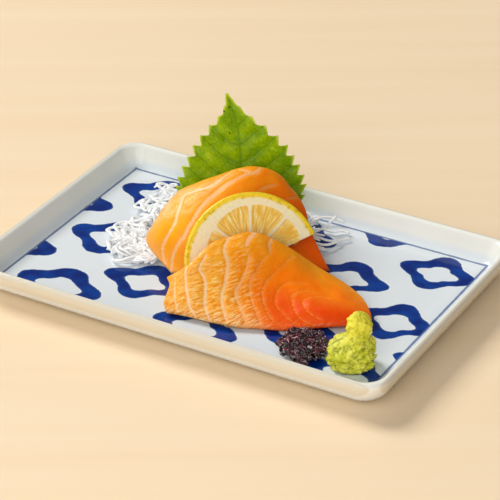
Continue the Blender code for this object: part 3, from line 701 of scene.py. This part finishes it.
def shiso_leaf():
    mat, tree, shader = surface("shiso leaf", Subsurface_Weight=0.18, Subsurface_Scale=0.0015,
                                Subsurface_Radius=(0.5, 1.0, 0.1), Specular_IOR_Level=0.16)
    flat = own_place(tree, "flat")
    vein = own_value(tree, "vein")
    edge = own_value(tree, "edge")
    tone = speckle(tree, flat, 0.12, 4.0)
    blade = tint(tree, srgb(124, 160, 0), tone, 0.30, 0.72, (170, 196, 0))
    small = add(tree, "TexVoronoi", {"Vector": flat, "Scale": 0.55, "Randomness": 1.0},
                feature="DISTANCE_TO_EDGE").outputs["Distance"]
    blade = tint(tree, blade, small, 0.16, 0.02, (92, 132, 0), 0.3)
    blade = tint(tree, blade, vein, 2.4, 0.2, (104, 146, 0), 0.3)
    blade = tint(tree, blade, vein, 0.15, -0.3, (84, 120, 0), 0.45)
    # A lighter yellow-green along the toothed margin: painted highlight where light catches the teeth.
    blade = tint(tree, blade, edge, 0.9, 0.05, (214, 226, 70), 0.75)
    spots = speckle(tree, flat, 0.62, 2.0)
    near_tip = span(tree, axis(tree, flat, "Y"), 26.0, 44.0)
    blade = mix(tree, times(tree, span(tree, spots, 0.66, 0.70), near_tip), blade, srgb(24, 40, 10))
    between_veins = times(tree, span(tree, vein, 0.0, 1.4), 0.5)
    puckers = plus(tree, times(tree, small, 0.9), between_veins)
    finish_moist(tree, shader, blade, flat, 0.5, 0.5, 0.32, 0.6, 0.5, puckers)
    columns, rows = LEAF_GRID
    across = np.linspace(-1.0, 1.0, columns + 1)
    up = np.linspace(0.0, 1.0, rows + 1)
    across, up = np.meshgrid(across, up)
    half = LEAF_HALF_WIDTH * curve(np.array(LEAF_PROFILE)[:, None], up.ravel())[:, 0].reshape(up.shape)
    phase = (up * LEAF_TEETH) % 1.0
    tooth = np.where(phase < 0.62, phase / 0.62, (1 - phase) / 0.38)
    weight = np.abs(across) ** 8 * ease(up, 0.02, 0.10) * ease(up, 1.0, 0.93)
    breadth = np.minimum(half / 14.0, 1.0)
    side_mm = across * half + np.sign(across) * weight * breadth * (2.6 * tooth - 1.3)
    up_mm = up * LEAF_LENGTH + weight * breadth * (2.2 * tooth - 0.9)
    vein = np.full(up.shape, 20.0)
    for width, line in leaf_veins():
        stops = curve(line, np.linspace(0, 1, 16))
        for start, end in zip(stops[:-1], stops[1:]):
            run = end - start
            reached = (side_mm - start[0]) * run[0] + (up_mm - start[1]) * run[1]
            share = np.clip(reached / (run @ run), 0.0, 1.0)
            away = np.hypot(side_mm - start[0] - share * run[0], up_mm - start[1] - share * run[1])
            vein = np.minimum(vein, away - width)
    edge = (1 - np.abs(across)) * half * 0.9
    bend = -5.6 * np.maximum(2 * up - 1, 0.0) ** 2
    crease = -1.6 * (1 - np.abs(across)) * breadth
    wave = np.sin(up * 9.0 + across * 2.2) * np.abs(across) * breadth
    ruffle = 0.55 * np.sin(up * 2 * np.pi * LEAF_TEETH * 0.5) * np.abs(across) ** 4 * breadth
    quilt = 0.5 * ease(vein, 0.0, 3.0) * np.minimum(edge / 3.0, 1.0)
    pucker = np.array([[rough((a, b, 0), 0.16, 3) for a, b in zip(row_a, row_b)]
                       for row_a, row_b in zip(side_mm, up_mm)])
    lean = np.array((0, cos(LEAF_LEAN), sin(LEAF_LEAN)))
    out = np.array((0, -sin(LEAF_LEAN), cos(LEAF_LEAN)))
    lift = crease + wave + ruffle + quilt + 0.45 * pucker
    sideways = np.array((1, 0, 0))
    points = (np.array(LEAF_FOOT) + up_mm[:, :, None] * lean + (side_mm + bend)[:, :, None] * sideways
              + lift[:, :, None] * out)
    bm, layers = open_sheet(columns, rows, ("vein", "edge"), ("flat",))
    for vert in bm.verts:
        i, j = round((vert.co.x + 0.5) * columns), round((vert.co.y + 0.5) * rows)
        vert.co = place(*points[j, i])
        vert[layers["flat"]] = (float(side_mm[j, i]), float(up_mm[j, i]), 0.0)
        vert[layers["vein"]] = float(vein[j, i])
        vert[layers["edge"]] = float(edge[j, i])
    thing = piece(bm, "shiso_blade", mat, ["shiso_leaf"])
    solidify(thing, "Blade", 0.35, 0.0)
    return thing


# Daikon

CLUMP_STRANDS = 7
DRAPED_CLUMPS = 12
DRAPED_STRANDS = 38
# The clumps of long shreds: centre along and back, size and height, in mm.
SHRED_CLUMPS = [
    (-47, 12, 8, 2.2), (-44, 22, 9, 2.6), (-48, 31, 7, 2.2), (-40, 33, 8, 3), (-38, 16, 8, 2.8),
    (-36, 44, 7.5, 2.6), (-27, 50, 8, 3.2), (-19, 55, 6, 3.5), (-8, 50, 7, 4), (4, 46, 7, 3.2),
    (15, 44, 6, 2.8), (-50, 20, 5, 2.6), (-45, 27, 6.5, 3.4), (-41, 10, 6, 3), (-43, 38, 6, 3.2),
    (-30, 45, 6.5, 4.6), (26, 38, 5.5, 3), (-40, 24, 7, 4), (-36, 30, 7, 5.5), (-44, 16, 6, 3.8),
    (-32, 37, 7, 7.5), (-24, 42, 7, 8), (21, 39, 5.5, 4.5), (-37, 53, 6, 2.2), (-34, 61, 5.5, 2),
    (-32, 68, 4.5, 1.8), (-28, 59, 5, 2.4), (-12, 46, 7, 3), (-3, 52, 6.5, 3), (8, 50, 5.5, 2.6),
    (-20, 48, 7, 3), (0, 45, 6, 3), (-12, 53, 6, 2.6), (9, 43, 6, 3),
]
# Single shreds that show at the right and at the far left, each with its own course.
LOOSE_SHREDS = [
    [(24, 29, 7), (30, 26, 8.5), (35, 28, 10), (38, 31, 11.5), (39.5, 33, 12)],
    [(26, 24, 6.8), (31, 17.5, 7.8), (35, 16, 8), (39, 19, 7.5), (41, 21.5, 6.8)],
    [(25, 28, 6.6), (31, 24, 7.2), (36, 21, 7.0), (41, 22, 6.6), (45, 24, 6.4)],
    [(25, 34, 7), (30, 36, 8), (34, 38, 8.5), (39, 38, 8), (43, 36, 7)],
    [(27, 30, 6.6), (33, 31, 6.8), (38, 29, 6.6), (42, 30, 6.4), (45, 28, 6.4)],
    [(-26, 30, 7), (-34, 25, 8), (-42, 17, 7), (-50, 14, 6.4), (-55, 18, 6.3)],
    [(-26, 22, 7), (-36, 14, 8), (-44, 7, 7), (-51, 6, 6.4), (-54, 10, 6.3)],
]


def strand(bm, path, width, height, steps, sides=6):
    """One shred with a soft cross-section, its end face grown along a smooth path."""
    bmesh.ops.create_circle(bm, cap_ends=True, segments=sides, radius=0.001)
    ring = bm.verts[-sides:]
    edges = list(ring[0].link_faces[0].edges)
    spots = curve(path, np.linspace(0, 1, steps + 1))
    ahead = np.gradient(spots, axis=0)
    for step in range(steps + 1):
        if step > 0:
            edges, grown = grow(bm, edges)
            ring = next_ring(ring, grown)
        forward = Vector(ahead[step]).normalized()
        side = forward.cross(Vector((0, 0, 1)))
        side = side.normalized() if side.length > 0.05 else Vector((1, 0, 0))
        top = side.cross(forward)
        share = 0.5 if step in (0, steps) else 1.0
        for index, vert in enumerate(ring):
            angle = 2 * pi * index / sides
            offset = side * (cos(angle) * width / 2 * share)
            offset += top * (sin(angle) * height / 2 * share)
            vert.co = place(*(Vector(spots[step]) + offset))
    bmesh.ops.contextual_create(bm, geom=edges)


def core_rise(along, back):
    """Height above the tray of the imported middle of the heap, which carries the slices and the leaf."""
    front = 21.4 * exp(-((along + 2.0) / 19.0) ** 2 - ((back - 20.0) / 7.0) ** 2)
    behind = 8.0 * exp(-((along + 10.0) / 20.0) ** 2 - ((back - 47.0) / 9.0) ** 2)
    return 0.7 + front + behind * float(ease(back, 37.5, 45.0))


BACK_REACH = 50.0


def in_tray(along, back, up):
    """The same point, moved in where it would reach the tray's back wall."""
    y = along * sin(FOOD_TURN) + back * cos(FOOD_TURN)
    over = max(y - BACK_REACH, 0.0)
    return (along - over * sin(FOOD_TURN), back - over * cos(FOOD_TURN), up)


def join(whole, part):
    """Adds one bmesh to another and frees it."""
    mesh = bpy.data.meshes.new("part")
    part.to_mesh(mesh)
    part.free()
    whole.from_mesh(mesh)
    bpy.data.meshes.remove(mesh)


def under(trees, spot):
    """The same point, lowered where it would reach a slice or the leaf above it."""
    along, back, up = spot
    for tree in trees:
        hit = tree.ray_cast(place(along, back, FLOOR), Vector((0, 0, 1)))[0]
        if hit is not None:
            up = min(up, hit.z / MM - 1.0)
    return (along, back, max(up, FLOOR + 0.9))


def on_disc(vert):
    """A point of the square grid moved onto a disc of radius 1."""
    x, y = vert.co.x * 2, vert.co.y * 2
    return x * sqrt(1 - y * y / 2), y * sqrt(1 - x * x / 2)


def daikon(above):
    """Fine shreds over a packed core. Those under the slice and the leaf given stay below them."""
    depsgraph = bpy.context.evaluated_depsgraph_get()
    over = [BVHTree.FromObject(thing, depsgraph) for thing in above]
    mat, tree, shader = surface("daikon shreds", Subsurface_Weight=0.12, Subsurface_Scale=0.002,
                                Subsurface_Radius=(1.0, 1.0, 1.0), Specular_IOR_Level=0.3,
                                Coat_Weight=0.1, Coat_Roughness=0.25)
    spot = object_place(tree)
    tone = speckle(tree, spot, 260.0, 3.0)
    colour = tint(tree, srgb(254, 255, 255), tone, 0.35, 0.68, (250, 252, 254))
    finish_moist(tree, shader, colour, spot, 500.0, 0.42, 0.25, 0.4, 0.3)
    rng = random.Random(13)
    between = rng.uniform
    bm = bmesh.new()
    for along, back, size, lift in SHRED_CLUMPS:
        clump = bmesh.new()
        for _ in range(CLUMP_STRANDS):
            start = between(0, 2 * pi)
            sweep = between(1.4, 3.4) * rng.choice((-1, 1))
            shift = (between(-2.5, 2.5), between(-2.5, 2.5))
            low = between(0.0, 0.5) * lift
            path = []
            for k in range(6):
                angle = start + sweep * k / 5
                radius = size * between(0.6, 1.15)
                rise = FLOOR + 0.9 + low + (lift - low) * sin(pi * k / 5) * between(0.4, 1.0)
                across = along + shift[0] + radius * cos(angle)
                away = back + shift[1] + radius * 0.8 * sin(angle)
                if away > 37:
                    rise = max(rise, FLOOR + REST_GAP + core_rise(across, away) + between(0.3, 1.6))
                path.append(under(over, in_tray(across, away, rise)))
            strand(clump, path, between(1.3, 2.2), between(0.7, 1.0), 16)
        join(bm, clump)
    for _ in range(DRAPED_CLUMPS):
        clump = bmesh.new()
        for _ in range(DRAPED_STRANDS):
            along, back = between(-29.0, 25.0), between(11.0, 50.0)
            heading = between(0, 2 * pi)
            turn = between(-0.5, 0.5)
            path = []
            for _ in range(6):
                rise = FLOOR + REST_GAP + core_rise(along, back) + between(0.3, 1.0)
                path.append(under(over, in_tray(along, back, rise)))
                along, back = along + 2.4 * cos(heading), back + 2.4 * sin(heading)
                heading += turn
            strand(clump, path, between(1.2, 1.9), between(0.7, 0.9), 10, 5)
        join(bm, clump)
    for path in LOOSE_SHREDS:
        strand(bm, path, 1.5, 0.9, 24)
    bmesh.ops.recalc_face_normals(bm, faces=bm.faces[:])
    piece(bm, "daikon_shreds", mat, ["daikon_heap"])
    core, _ = open_sheet(90, 76)
    for vert in core.verts:
        round_x, round_y = on_disc(vert)
        along, back = -3.0 + 33.0 * round_x, 29.0 + 28.0 * round_y
        shreds = 0.7 * abs(noise.noise(Vector((along * 0.5, back * 1.1, 1.0)))) - 0.3
        vert.co = place(along, back, FLOOR + REST_GAP + core_rise(along, back) + shreds)
    bed = bmesh.ops.create_grid(core, x_segments=44, y_segments=60, size=0.5)["verts"]
    for vert in bed:
        round_x, round_y = on_disc(vert)
        angle = atan2(round_y, round_x)
        edge = 1.0 + 0.13 * noise.noise(Vector((cos(angle) * 2.2, sin(angle) * 2.2, 4.0)))
        along, back = -43.0 + 11.5 * round_x * edge, 24.5 + 18.5 * round_y * edge
        swirl = noise.noise(Vector((along * 0.09, back * 0.09, 2.0))) * 5.0
        ridges = abs(noise.noise(Vector((along * 0.8 + swirl, back * 0.35 - swirl, 6.0))))
        rise = 0.7 + 1.5 * (1 - (round_x ** 2 + round_y ** 2)) + 0.9 * ridges
        vert.co = place(along, back, FLOOR + REST_GAP + rise)
    solidify(piece(core, "daikon_core", mat), "Depth", 0.7)


# Wasabi

WASABI_SPOT = (41.6, -70.9)
WASABI_SIDES = 150
WASABI_ROWS = 110
WASABI_NECK = 8.0
# Height and radius of the dab from its foot to the top of its knob, in mm.
WASABI_LEVELS = [(0.0, 7.6), (1.0, 8.6), (2.8, 9.2), (4.8, 9.1), (6.8, 9.0), (8.8, 8.9), (10.2, 8.2),
                 (10.9, 6.4), (12.2, 4.9), (14.0, 4.8), (16.0, 5.0), (18.0, 4.8), (19.8, 4.0),
                 (21.2, 2.6), (22.0, 1.1)]


def wasabi():
    mat, tree, shader = surface("wasabi", Subsurface_Weight=0.25, Subsurface_Scale=0.0025,
                                Subsurface_Radius=(0.9, 1.0, 0.25), Specular_IOR_Level=0.4)
    spot = object_place(tree)
    tone = speckle(tree, spot, 300.0, 4.0)
    colour = tint(tree, srgb(196, 198, 26), tone, 0.34, 0.66, (236, 232, 90))
    # Darker green in the crevices between the crags: painted shade.
    colour = tint(tree, colour, own_value(tree, "crag"), 0.1, -0.5, (128, 138, 4), 0.8)
    # Lighter yellow towards the top of the knob: painted light falling from above.
    colour = tint(tree, colour, axis(tree, spot, "Z"), 0.015, 0.024, (252, 232, 60), 0.45)
    height = plus(tree, tone, times(tree, speckle(tree, spot, 1300.0, 3.0), 0.35))
    finish_moist(tree, shader, colour, spot, 700.0, 0.62, 0.38, 0.6, 0.6, height)
    bm = bmesh.new()
    bmesh.ops.create_circle(bm, cap_ends=True, segments=WASABI_SIDES, radius=7.8)
    edges = bm.edges[:]
    for height_mm, radius in curve(WASABI_LEVELS, np.linspace(0, 1, WASABI_ROWS)):
        edges, points = grow(bm, edges)
        for vert in points:
            flat = Vector((vert.co.x, vert.co.y, 0)).normalized() * float(radius)
            vert.co = Vector((flat.x, flat.y, float(height_mm)))
    bmesh.ops.contextual_create(bm, geom=edges)
    crag_layer = bm.verts.layers.float.new("crag")
    for vert in bm.verts:
        height_mm = vert.co.z
        raised = float(ease(height_mm, 0.0, 1.0))
        spot_mm = Vector((vert.co.x, vert.co.y, height_mm * 1.3))
        crag = 0.55 - noise.voronoi(spot_mm * 0.31)[0][0] + 0.35 * noise.noise(spot_mm * 0.7)
        small = noise.voronoi(spot_mm * 0.85)[0][0] - 0.45 + 0.5 * noise.noise(spot_mm * 2.0)
        swell = 1.0 + (0.26 * crag - 0.02 - 0.075 * small) * raised
        pinch = float(ease(height_mm, WASABI_NECK, WASABI_NECK + 6.0))
        along = WASABI_SPOT[0] + vert.co.x * swell + 2.9 * pinch
        back = WASABI_SPOT[1] + vert.co.y * swell * 0.88 + 2.6 * pinch
        uneven = 0.5 * noise.noise(spot_mm * 0.5) + 0.35 * noise.noise(spot_mm * 1.3)
        rise = height_mm + uneven * raised
        vert[crag_layer] = crag - 0.5 * small
        vert.co = place(along, back, FLOOR + REST_GAP + rise)
    bmesh.ops.recalc_face_normals(bm, faces=bm.faces[:])
    piece(bm, "wasabi_dab", mat, ["wasabi"])


# Purple sprouts

SPROUT_CENTRE = (23.5, -59.5)
SPROUT_REACH = (9.5, 12.0)
SPROUT_LEAVES = 74
SPROUT_STEMS = 34
GOLDEN_TURN = 2.4


def sprout_rise(along, back):
    """Height of the little heap over its spot."""
    across = (along - SPROUT_CENTRE[0]) / SPROUT_REACH[0]
    away = (back - SPROUT_CENTRE[1]) / SPROUT_REACH[1]
    return 0.5 + 1.9 * max(1 - across ** 2 - away ** 2, 0.0)


def sprouts():
    leaf_mat, tree, shader = surface("sprout leaves", Coat_Weight=0.6, Coat_Roughness=0.12,
                                     Specular_IOR_Level=0.5)
    spot = object_place(tree)
    tone = speckle(tree, spot, 300.0, 3.0)
    colour = tint(tree, srgb(22, 8, 16), tone, 0.36, 0.64, (84, 34, 50))
    colour = tint(tree, colour, speckle(tree, spot, 190.0, 2.0), 0.60, 0.68, (70, 64, 40))
    # Small pale specks on the leaves: painted highlight, wet glints.
    colour = tint(tree, colour, speckle(tree, spot, 700.0, 2.0), 0.64, 0.72, (196, 170, 184), 0.8)
    finish_moist(tree, shader, colour, spot, 900.0, 0.5, 0.22, 0.6, 0.3)
    stem_mat, tree, shader = surface("sprout stems", Subsurface_Weight=0.2, Subsurface_Scale=0.001,
                                     Coat_Weight=0.4, Coat_Roughness=0.15)
    spot = object_place(tree)
    colour = tint(tree, srgb(150, 40, 70), speckle(tree, spot, 220.0, 2.0), 0.4, 0.62, (226, 176, 180))
    finish_moist(tree, shader, colour, spot, 900.0, 0.4, 0.2, 0.4, 0.2)
    between = random.Random(5).uniform
    leaves = bmesh.new()
    for index in range(SPROUT_LEAVES):
        angle = index * GOLDEN_TURN
        share = sqrt((index + 0.5) / SPROUT_LEAVES) * between(0.92, 1.06)
        along = SPROUT_CENTRE[0] + SPROUT_REACH[0] * share * cos(angle) * 0.98
        back = SPROUT_CENTRE[1] + SPROUT_REACH[1] * share * sin(angle) * 0.98
        rise = FLOOR + 1.2 + sprout_rise(along, back) * between(0.5, 1.15)
        length, width = between(3.2, 5.8), between(1.6, 2.9)
        heading, pitch = between(0, 2 * pi), between(-0.35, 0.85)
        roll = between(-0.8, 0.8)
        ahead = Vector((cos(heading) * cos(pitch), sin(heading) * cos(pitch),
                        sin(pitch)))
        side = ahead.cross(Vector((0, 0, 1))).normalized()
        top = side.cross(ahead)
        side, top = (side * cos(roll) + top * sin(roll),
                     top * cos(roll) - side * sin(roll))
        made = bmesh.ops.create_grid(leaves, x_segments=6, y_segments=4, size=0.5)["verts"]
        for vert in made:
            x, y = vert.co.x, vert.co.y * 2
            half = width / 2 * sqrt(max(1 - (2 * x) ** 2 * 0.92, 0.0))
            fold = abs(y) * 0.9 + 0.25 * sin(x * 9 + index) + 0.9 * x * x
            point = Vector((along, back, rise)) + ahead * (x * length) + side * (y * half) + top * fold
            point.z = max(point.z, FLOOR + 0.45)
            vert.co = place(*point)
    thing = piece(leaves, "sprout_leaves", leaf_mat, ["purple_sprouts"])
    solidify(thing, "Blade", 0.22, 0.0)
    stems = bmesh.new()
    for _ in range(SPROUT_STEMS):
        angle = between(0, 2 * pi)
        share = between(0.1, 0.95)
        centre = Vector((SPROUT_CENTRE[0] + SPROUT_REACH[0] * share * 0.8 * cos(angle),
                         SPROUT_CENTRE[1] + SPROUT_REACH[1] * share * 0.8 * sin(angle), 0))
        centre.z = FLOOR + 1.6 + sprout_rise(centre.x, centre.y) * between(0.4, 1.1)
        heading = between(0, pi)
        reach = Vector((cos(heading), sin(heading), between(-0.15, 0.15)))
        reach = reach * between(2.0, 4.5)
        bend = Vector((-reach.y, reach.x, 0)) * between(-0.6, 0.6)
        path = [centre - reach, centre - reach * 0.3 + bend, centre + reach * 0.5 + bend,
                centre + reach]
        path = [(p.x, p.y, max(p.z, FLOOR + 0.7)) for p in path]
        strand(stems, path, 0.55, 0.55, 9, 5)
    bmesh.ops.recalc_face_normals(stems, faces=stems.faces[:])
    piece(stems, "sprout_stems", stem_mat)


# Plate

PLATE_HALF_LENGTH = 95.0
PLATE_HALF_WIDTH = 62.5
RIM_TOP = 13.8
# The tray's section as inset, height and corner radius, in mm: its floor, then the wall up the
# inside, over the rim and down the outside, then the foot ring and the underside.
PLATE_FLOOR = [(16.0, 5.1, 3.0), (12.0, 5.1, 4.0), (9.9, 5.1, 4.4)]
PLATE_WALL = [
    (9.4, 5.1, 4.5), (8.2, 5.35, 5.1), (7.2, 6.0, 5.9), (6.2, 7.3, 6.7), (4.6, 10.1, 7.9),
    (3.3, 12.7, 8.9), (2.6, 13.5, 8.4), (1.7, 13.8, 9.0), (0.8, 13.6, 9.6), (0.15, 12.9, 10.0),
    (0.0, 12.0, 10.0), (0.6, 9.6, 10.0), (2.2, 6.2, 9.4), (4.6, 3.4, 8.4), (7.2, 1.9, 7.4),
    (10.5, 1.5, 6.4), (14.0, 1.3, 5.8),
]
PLATE_FOOT = [(14.25, 0.9, 5.4), (14.5, 0.3, 5.1), (14.8, 0.0, 5.0), (17.2, 0.0, 3.7), (17.5, 0.3, 3.5),
              (17.8, 0.9, 3.2), (18.4, 1.4, 3.0), (19.2, 1.5, 3.0), (24.0, 1.5, 3.0)]


def rounded_rectangle(inset, height, corner, steps=14):
    """One ring of points round the tray, in metres."""
    half_x, half_y = PLATE_HALF_LENGTH - inset - corner, PLATE_HALF_WIDTH - inset - corner
    points = []
    for quarter, (sx, sy) in enumerate(((1, 1), (-1, 1), (-1, -1), (1, -1))):
        for step in range(steps + 1):
            angle = (quarter + step / steps) * pi / 2
            points.append(Vector((sx * half_x + corner * cos(angle),
                                  sy * half_y + corner * sin(angle), height)) * MM)
    return points


def plate():
    smooth = curve(PLATE_WALL, np.linspace(0, 1, 70))
    smooth[:, 0] = np.maximum(smooth[:, 0], 0.0)
    smooth[:, 1] = np.minimum(smooth[:, 1], RIM_TOP)
    levels = PLATE_FLOOR + [tuple(map(float, row)) for row in smooth] + PLATE_FOOT
    bm = bmesh.new()
    ring = [bm.verts.new(point) for point in rounded_rectangle(*levels[0])]
    bm.faces.new(ring)
    edges = bm.edges[:]
    for level in levels[1:]:
        edges, grown = grow(bm, edges)
        ring = next_ring(ring, grown)
        for vert, point in zip(ring, rounded_rectangle(*level)):
            vert.co = point
    bmesh.ops.contextual_create(bm, geom=ring)
    bmesh.ops.recalc_face_normals(bm, faces=bm.faces[:])
    piece(bm, "porcelain_plate", porcelain(), ["plate"])


# Table, light and camera

TABLE_HALF = 4.0
WORLD_STRENGTH = 0.18
# Name, place in metres, size, power and colour of each light; both face the middle of the plate.
LIGHTS = [("window", (-2.1, 0.56, 1.96), 1.2, 68.0, (1.0, 0.98, 0.95)),
          ("fill", (0.25, -1.1, 0.62), 1.2, 12.0, (1.0, 0.99, 0.97))]
CAMERA_LENS = 174.04
CAMERA_EYE = Vector((0.4317, -0.7292, 0.5147))
CAMERA_AIM = Vector((-0.01044, 0.02389, 0.0))
CAMERA_ROLL = radians(-0.55)


def facing(thing, spot, aim):
    """Places a light or a camera so that it looks at a point, and adds it to the scene."""
    thing.location = spot
    thing.rotation_euler = (aim - Vector(spot)).to_track_quat("-Z", "Y").to_euler()
    bpy.context.scene.collection.objects.link(thing)


def studio():
    """A pale wooden table, soft light from the left, and the camera."""
    mat, tree, shader = surface("pale table", Roughness=0.7, Specular_IOR_Level=0.2)
    grain_at = stretched(tree, object_place(tree), (3.0, 60.0, 1.0), -FOOD_TURN)
    grain = mix(tree, speckle(tree, grain_at, 1.0, 6.0, 0.6), srgb(246, 218, 178), srgb(254, 233, 202))
    link_to(tree, shader, Base_Color=grain)
    bm = bmesh.new()
    bmesh.ops.create_grid(bm, x_segments=1, y_segments=1, size=TABLE_HALF)
    table = in_scene(bm, "table", mat)
    for name, spot, size, power, colour in LIGHTS:
        light = bpy.data.lights.new(name, "AREA")
        light.shape = "SQUARE"
        light.size = size
        light.energy = power
        light.color = colour
        facing(bpy.data.objects.new(name, light), spot, Vector())
    world = bpy.data.worlds.new("studio")
    world.use_nodes = True
    background = world.node_tree.nodes["Background"]
    background.inputs["Color"].default_value = (1.0, 0.98, 0.96, 1.0)
    background.inputs["Strength"].default_value = WORLD_STRENGTH
    bpy.context.scene.world = world
    bpy.context.scene.view_settings.view_transform = "Standard"
    camera = bpy.data.cameras.new("camera")
    camera.lens = CAMERA_LENS
    camera.sensor_width = 36.0
    camera.clip_start = 0.05
    viewer = bpy.data.objects.new("camera", camera)
    facing(viewer, CAMERA_EYE, CAMERA_AIM)
    viewer.rotation_euler.rotate_axis("Z", CAMERA_ROLL)
    bpy.context.scene.camera = viewer


studio()
plate()
SALMON = salmon("raw salmon")
back_slice = slice_sheet("salmon_slice_back", "salmon_back", BACK_GUIDES, 150, 130, BACK_FAT,
                         SALMON, back_shading)
slice_sheet("salmon_slice_front", "salmon_front", FRONT_GUIDES, 200, 120, FRONT_FAT,
            SALMON, front_shading)
lemon_slice()
leaf = shiso_leaf()
daikon([back_slice, leaf])
wasabi()
sprouts()
